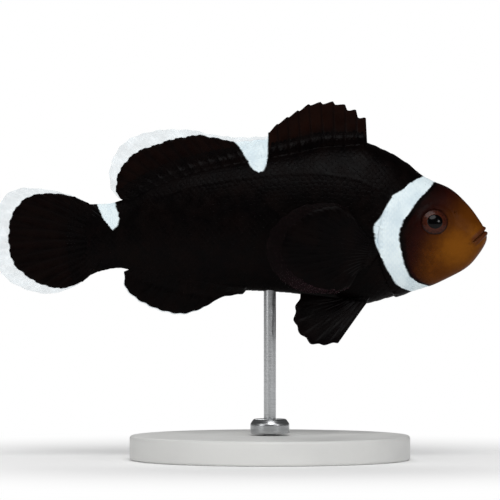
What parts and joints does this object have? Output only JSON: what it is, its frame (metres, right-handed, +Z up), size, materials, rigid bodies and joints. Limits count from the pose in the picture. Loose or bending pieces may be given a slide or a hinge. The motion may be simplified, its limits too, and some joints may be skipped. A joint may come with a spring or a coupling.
{
  "type": "clownfish model",
  "caption": "Life-size still model of a black ocellaris clownfish with white bars, its fins spread, held level over a round base by one upright rod.",
  "frame": {"origin": "centre of the stand base's underside, on the rod's axis", "axes": "+X along the fish towards its snout, +Y towards its left side, +Z up along the rod"},
  "size_m": [0.0802, 0.046, 0.0588],
  "materials": {
    "black_skin": "satin, scaled black skin",
    "brown_skin": "satin, orange-brown skin of the face",
    "white_skin": "satin, bluish-white bar",
    "black_fin": "satin black membrane with clear pale margins",
    "brown_fin": "satin dark brown membrane",
    "eye": "wet gloss, dark brown iris round a black pupil",
    "stand_paint": "pale grey satin paint",
    "stand_steel": "brushed"
  },
  "bodies": {
    "root": {"head": "brown_skin", "lower_jaw": "brown_skin", "gill_cover_right": "white_skin", "gill_cover_left": "white_skin", "eye_right": "eye", "eye_left": "eye", "trunk": "black_skin", "tail_stalk": "black_skin", "dorsal_fin_spiny": "brown_fin", "dorsal_fin_soft": "black_fin", "anal_fin": "black_fin", "tail_fin": "black_fin", "pectoral_fin_right": "brown_fin", "pectoral_fin_left": "brown_fin", "pelvic_fin_right": "black_fin", "pelvic_fin_left": "black_fin", "stand_base": "stand_paint", "stand_collar": "stand_steel", "stand_rod": "stand_steel"}
  },
  "joints": []
}
